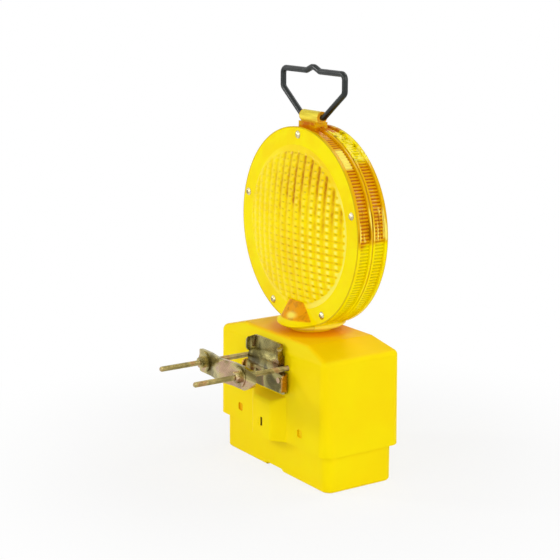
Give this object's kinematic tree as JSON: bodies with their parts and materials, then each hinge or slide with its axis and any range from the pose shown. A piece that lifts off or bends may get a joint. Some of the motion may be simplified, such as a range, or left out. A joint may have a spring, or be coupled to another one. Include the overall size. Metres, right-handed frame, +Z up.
{
  "type": "barricade warning light",
  "caption": "Battery warning light with a swivelling two-sided lens, a hood over a battery box and a clamp for a post or rail",
  "frame": {"origin": "centre of the battery box's underside", "axes": "+X along the box's width, -Y towards the clamp (front), +Z up through the lens and the bail"},
  "size_m": [0.186, 0.1863, 0.3794],
  "materials": {
    "yellow_case": "moulded, satin",
    "battery_jacket": "plain jacket, satin",
    "spring_steel": "bright drawn wire",
    "bright_steel": "zinc plated",
    "gold_steel": "yellow passivated zinc",
    "seal_rubber": "matt",
    "board_green": "solder mask",
    "part_black": "moulded, matt",
    "strip_brass": "bright",
    "wire_red": "insulation",
    "post_black": "moulded, smooth",
    "washer_white": "smooth",
    "bulb_glass": "clear",
    "lens_amber": "clear moulded plastic, satin inside",
    "gasket_amber": "soft",
    "handle_black": "dipped coating, slight sheen",
    "switch_white": "smooth"
  },
  "bodies": {
    "base": {"battery_box": "yellow_case", "latch_keeper": "gold_steel", "keeper_rivets": "bright_steel", "battery_left": "battery_jacket", "battery_right": "battery_jacket", "battery_springs": "spring_steel"},
    "hood": {"hood": "yellow_case", "rim_seal": "seal_rubber", "circuit_board": "board_green", "flasher_parts": "part_black", "contact_strips": "strip_brass", "board_screws": "bright_steel", "mode_switch": "part_black", "lamp_wires": "wire_red", "swivel_post": "post_black", "post_nut": "post_black", "neck_washer": "washer_white", "lamp_stem": "post_black", "lamp_socket": "part_black", "bulb": "bulb_glass", "clamp_saddle": "gold_steel", "saddle_rivets": "gold_steel", "clamp_studs": "gold_steel", "stud_washers": "gold_steel", "lock_retainer": "gold_steel", "retainer_screws": "bright_steel"},
    "jaw": {"clamp_jaw": "gold_steel", "jaw_washers": "gold_steel"},
    "nut_left": {"nut_left": "gold_steel"},
    "nut_right": {"nut_right": "gold_steel"},
    "lock": {"lock_barrel": "yellow_case", "lock_cam": "gold_steel", "cam_screw": "bright_steel"},
    "switch": {"switch_slider": "switch_white"},
    "head": {"lens_front": "lens_amber", "lens_rear": "lens_amber", "lens_gasket": "gasket_amber", "lens_screws": "bright_steel"},
    "bail": {"bail_handle": "handle_black"}
  },
  "joints": [
    {"name": "hood_lift", "type": "slide", "parent": "base", "child": "hood", "axis": [0, 0, 1], "range_m": [0, 0.12]},
    {"name": "jaw_slide", "type": "slide", "parent": "hood", "child": "jaw", "axis": [0, -1, 0], "range_m": [-0.04, 0.036]},
    {"name": "nut_left_turn", "type": "hinge", "parent": "jaw", "child": "nut_left", "pos_m": [-0.03, -0.1, 0.107], "axis": [0, -1, 0], "continuous": true},
    {"name": "nut_right_turn", "type": "hinge", "parent": "jaw", "child": "nut_right", "pos_m": [0.03, -0.1, 0.107], "axis": [0, -1, 0], "continuous": true},
    {"name": "lock_turn", "type": "hinge", "parent": "hood", "child": "lock", "pos_m": [0, -0.045, 0.0496], "axis": [0, -1, 0], "range_deg": [0, 90]},
    {"name": "switch_slide", "type": "slide", "parent": "hood", "child": "switch", "axis": [1, 0, 0], "range_m": [-0.0025, 0.0025]},
    {"name": "lens_swivel", "type": "hinge", "parent": "hood", "child": "head", "pos_m": [0, 0.0044, 0.17], "axis": [0, 0, 1], "continuous": true},
    {"name": "bail_swing", "type": "hinge", "parent": "head", "child": "bail", "pos_m": [0, 0.0044, 0.3319], "axis": [1, 0, 0], "range_deg": [-135, 135]}
  ],
  "couplings": [
    {"joint": "nut_left_turn", "follows": "jaw_slide", "rad_per_m": 7854},
    {"joint": "nut_right_turn", "follows": "jaw_slide", "rad_per_m": 7854}
  ]
}
